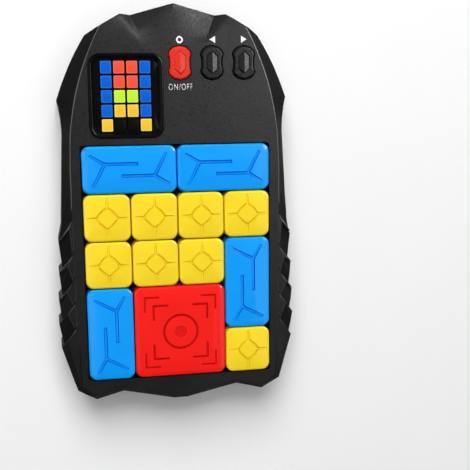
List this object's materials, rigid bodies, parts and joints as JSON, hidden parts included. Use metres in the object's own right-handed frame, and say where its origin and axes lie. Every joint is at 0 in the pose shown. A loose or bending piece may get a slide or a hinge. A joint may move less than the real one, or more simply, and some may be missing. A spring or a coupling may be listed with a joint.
{
  "type": "sliding tile puzzle",
  "caption": "Handheld electronic sliding tile puzzle: faceted black console with magnetic coloured tiles in a tray, a lit pixel display, push buttons and a battery door.",
  "frame": {"origin": "on the back, under the middle of the console's bounding box", "axes": "+X across the board to the right, +Y from the bottom edge to the display and the peak, +Z out of the face; the console lies on its back"},
  "size_m": [0.1036, 0.168, 0.026],
  "materials": {
    "shell": "fine spark texture, matte",
    "display_gloss": "polished",
    "power_button": "satin",
    "keypad": "moulded silicone",
    "diffuser": "matte white",
    "pixel": "translucent, lit from behind",
    "led": "clear resin",
    "circuit_board": "solder mask",
    "chip": "moulded epoxy",
    "steel": "plated",
    "speaker": "satin",
    "battery": "satin sleeve",
    "tile_yellow": "satin gloss",
    "tile_blue": "satin gloss",
    "tile_red": "satin gloss",
    "magnet": "nickel plated"
  },
  "bodies": {
    "console": {"front_housing": "shell", "rear_housing": "shell", "case_screws": "steel", "rubber_keypad": "keypad", "display_bezel": "display_gloss", "light_grid": "diffuser", "display_pixels": "pixel", "display_leds": "led", "main_board": "circuit_board", "controller_chip": "chip", "hall_sensors": "chip", "keeper_plate": "steel", "speaker": "speaker", "batteries": "battery", "battery_springs": "steel", "battery_contacts": "steel"},
    "power_key": {"power_button": "power_button"},
    "previous_key": {"previous_button": "shell"},
    "next_key": {"next_button": "shell"},
    "door": {"battery_door": "shell", "door_screw": "steel"},
    "yellow_1": {"yellow_tile_1": "tile_yellow", "yellow_base_1": "tile_yellow", "yellow_magnet_1": "magnet"},
    "yellow_2": {"yellow_tile_2": "tile_yellow", "yellow_base_2": "tile_yellow", "yellow_magnet_2": "magnet"},
    "yellow_3": {"yellow_tile_3": "tile_yellow", "yellow_base_3": "tile_yellow", "yellow_magnet_3": "magnet"},
    "yellow_4": {"yellow_tile_4": "tile_yellow", "yellow_base_4": "tile_yellow", "yellow_magnet_4": "magnet"},
    "yellow_5": {"yellow_tile_5": "tile_yellow", "yellow_base_5": "tile_yellow", "yellow_magnet_5": "magnet"},
    "yellow_6": {"yellow_tile_6": "tile_yellow", "yellow_base_6": "tile_yellow", "yellow_magnet_6": "magnet"},
    "yellow_7": {"yellow_tile_7": "tile_yellow", "yellow_base_7": "tile_yellow", "yellow_magnet_7": "magnet"},
    "yellow_8": {"yellow_tile_8": "tile_yellow", "yellow_base_8": "tile_yellow", "yellow_magnet_8": "magnet"},
    "blue_1": {"blue_tile_1": "tile_blue", "blue_base_1": "tile_blue", "blue_magnets_1": "magnet"},
    "blue_2": {"blue_tile_2": "tile_blue", "blue_base_2": "tile_blue", "blue_magnets_2": "magnet"},
    "blue_3": {"blue_tile_3": "tile_blue", "blue_base_3": "tile_blue", "blue_magnets_3": "magnet"},
    "blue_4": {"blue_tile_4": "tile_blue", "blue_base_4": "tile_blue", "blue_magnets_4": "magnet"},
    "red": {"red_tile": "tile_red", "red_base": "tile_red", "red_magnets": "magnet"}
  },
  "joints": [
    {"name": "power_press", "type": "slide", "parent": "console", "child": "power_key", "axis": [0, 0, -1], "range_m": [0, 0.0012], "stiffness_N_per_m": 400, "deforming": ["rubber_keypad"]},
    {"name": "previous_press", "type": "slide", "parent": "console", "child": "previous_key", "axis": [0, 0, -1], "range_m": [0, 0.0012], "stiffness_N_per_m": 400, "deforming": ["rubber_keypad"]},
    {"name": "next_press", "type": "slide", "parent": "console", "child": "next_key", "axis": [0, 0, -1], "range_m": [0, 0.0012], "stiffness_N_per_m": 400, "deforming": ["rubber_keypad"]},
    {"name": "door_hinge", "type": "hinge", "parent": "console", "child": "door", "pos_m": [0, 0.0058, 0], "axis": [1, 0, 0], "range_deg": [0, 75]},
    {"name": "yellow_1_lift", "type": "slide", "parent": "console", "child": "yellow_1", "axis": [0, 0, 1], "range_m": [0, 0.025]},
    {"name": "yellow_2_lift", "type": "slide", "parent": "console", "child": "yellow_2", "axis": [0, 0, 1], "range_m": [0, 0.025]},
    {"name": "yellow_3_lift", "type": "slide", "parent": "console", "child": "yellow_3", "axis": [0, 0, 1], "range_m": [0, 0.025]},
    {"name": "yellow_4_lift", "type": "slide", "parent": "console", "child": "yellow_4", "axis": [0, 0, 1], "range_m": [0, 0.025]},
    {"name": "yellow_5_lift", "type": "slide", "parent": "console", "child": "yellow_5", "axis": [0, 0, 1], "range_m": [0, 0.025]},
    {"name": "yellow_6_lift", "type": "slide", "parent": "console", "child": "yellow_6", "axis": [0, 0, 1], "range_m": [0, 0.025]},
    {"name": "yellow_7_lift", "type": "slide", "parent": "console", "child": "yellow_7", "axis": [0, 0, 1], "range_m": [0, 0.025]},
    {"name": "yellow_8_lift", "type": "slide", "parent": "console", "child": "yellow_8", "axis": [0, 0, 1], "range_m": [0, 0.025]},
    {"name": "blue_1_lift", "type": "slide", "parent": "console", "child": "blue_1", "axis": [0, 0, 1], "range_m": [0, 0.025]},
    {"name": "blue_2_lift", "type": "slide", "parent": "console", "child": "blue_2", "axis": [0, 0, 1], "range_m": [0, 0.025]},
    {"name": "blue_3_lift", "type": "slide", "parent": "console", "child": "blue_3", "axis": [0, 0, 1], "range_m": [0, 0.025]},
    {"name": "blue_4_lift", "type": "slide", "parent": "console", "child": "blue_4", "axis": [0, 0, 1], "range_m": [0, 0.025]},
    {"name": "red_lift", "type": "slide", "parent": "console", "child": "red", "axis": [0, 0, 1], "range_m": [0, 0.025]}
  ]
}
